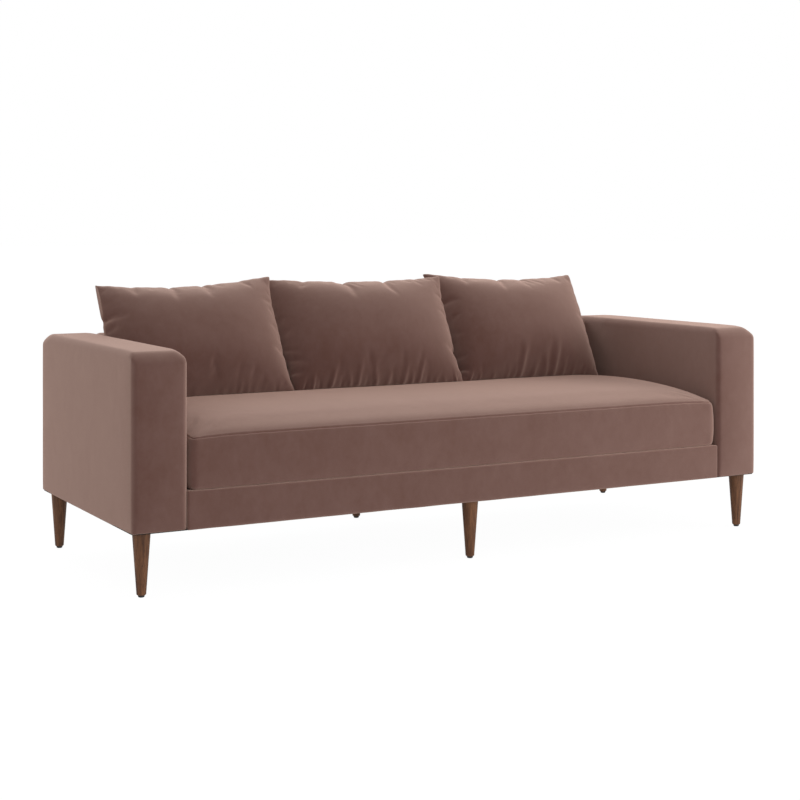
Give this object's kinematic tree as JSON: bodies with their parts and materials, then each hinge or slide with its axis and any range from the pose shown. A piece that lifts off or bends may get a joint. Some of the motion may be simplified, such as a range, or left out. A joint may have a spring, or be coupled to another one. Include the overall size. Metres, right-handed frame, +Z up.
{
  "type": "three-seat sofa",
  "caption": "Three-seat sofa with box arms, a level back, a bench seat cushion, loose knife-edge back pillows and tapered wooden legs.",
  "frame": {"origin": "on the floor, under the centre of the sofa's overall box", "axes": "+X to the right seen from the front, along the sofa's length; -Y out of the front; +Z up"},
  "size_m": [2.134, 0.826, 0.8158],
  "materials": {
    "frame_wood": "raw",
    "panel_board": "raw",
    "foam": "matte",
    "velvet": "matte velvet",
    "spring_steel": "oiled",
    "hardware_steel": "zinc plated",
    "deck_cloth": "matte",
    "dust_cloth": "matte",
    "leg_wood": "satin lacquer",
    "glide": "matte",
    "zip": "matte",
    "fibre_fill": "matte"
  },
  "bodies": {
    "frame": {"left_arm_front_post": "frame_wood", "left_arm_rear_post": "frame_wood", "left_arm_top_rail": "frame_wood", "left_arm_bottom_rail": "frame_wood", "left_arm_panels": "panel_board", "left_arm_foam": "foam", "left_arm_cover": "velvet", "right_arm_front_post": "frame_wood", "right_arm_rear_post": "frame_wood", "right_arm_top_rail": "frame_wood", "right_arm_bottom_rail": "frame_wood", "right_arm_panels": "panel_board", "right_arm_foam": "foam", "right_arm_cover": "velvet", "back_top_rail": "frame_wood", "back_bottom_rail": "frame_wood", "back_upright_1": "frame_wood", "back_upright_2": "frame_wood", "back_upright_3": "frame_wood", "back_upright_4": "frame_wood", "back_panels": "panel_board", "back_foam": "foam", "back_cover": "velvet", "outside_back_cover": "velvet", "seat_front_rail": "frame_wood", "seat_rear_rail": "frame_wood", "seat_left_rail": "frame_wood", "seat_right_rail": "frame_wood", "seat_centre_rail": "frame_wood", "leg_block": "frame_wood", "seat_springs": "spring_steel", "spring_clips": "hardware_steel", "deck_pad": "foam", "deck_cloth": "deck_cloth", "front_rail_foam": "foam", "front_rail_cover": "velvet", "dust_cloth": "dust_cloth", "front_left_leg": "leg_wood", "front_centre_leg": "leg_wood", "front_right_leg": "leg_wood", "rear_left_leg": "leg_wood", "rear_centre_leg": "leg_wood", "rear_right_leg": "leg_wood", "hanger_bolts": "hardware_steel", "tee_nuts": "hardware_steel", "leg_glides": "glide", "frame_bolts": "hardware_steel", "frame_washers": "hardware_steel"},
    "seat_cushion": {"seat_cushion_core": "foam", "seat_cushion_cover": "velvet", "seat_cushion_zip": "zip"},
    "left_pillow": {"left_pillow_insert": "fibre_fill", "left_pillow_cover": "velvet"},
    "centre_pillow": {"centre_pillow_insert": "fibre_fill", "centre_pillow_cover": "velvet"},
    "right_pillow": {"right_pillow_insert": "fibre_fill", "right_pillow_cover": "velvet"}
  },
  "joints": [
    {"name": "seat_cushion_lift", "type": "slide", "parent": "frame", "child": "seat_cushion", "axis": [0, 0, 1], "range_m": [0, 0.4]},
    {"name": "left_pillow_lift", "type": "slide", "parent": "seat_cushion", "child": "left_pillow", "axis": [0.0185, 0.5296, 0.848], "range_m": [0, 0.4]},
    {"name": "centre_pillow_lift", "type": "slide", "parent": "seat_cushion", "child": "centre_pillow", "axis": [0.037, 0.5286, 0.848], "range_m": [0, 0.4]},
    {"name": "right_pillow_lift", "type": "slide", "parent": "seat_cushion", "child": "right_pillow", "axis": [0.0213, 0.5295, 0.848], "range_m": [0, 0.4]}
  ]
}
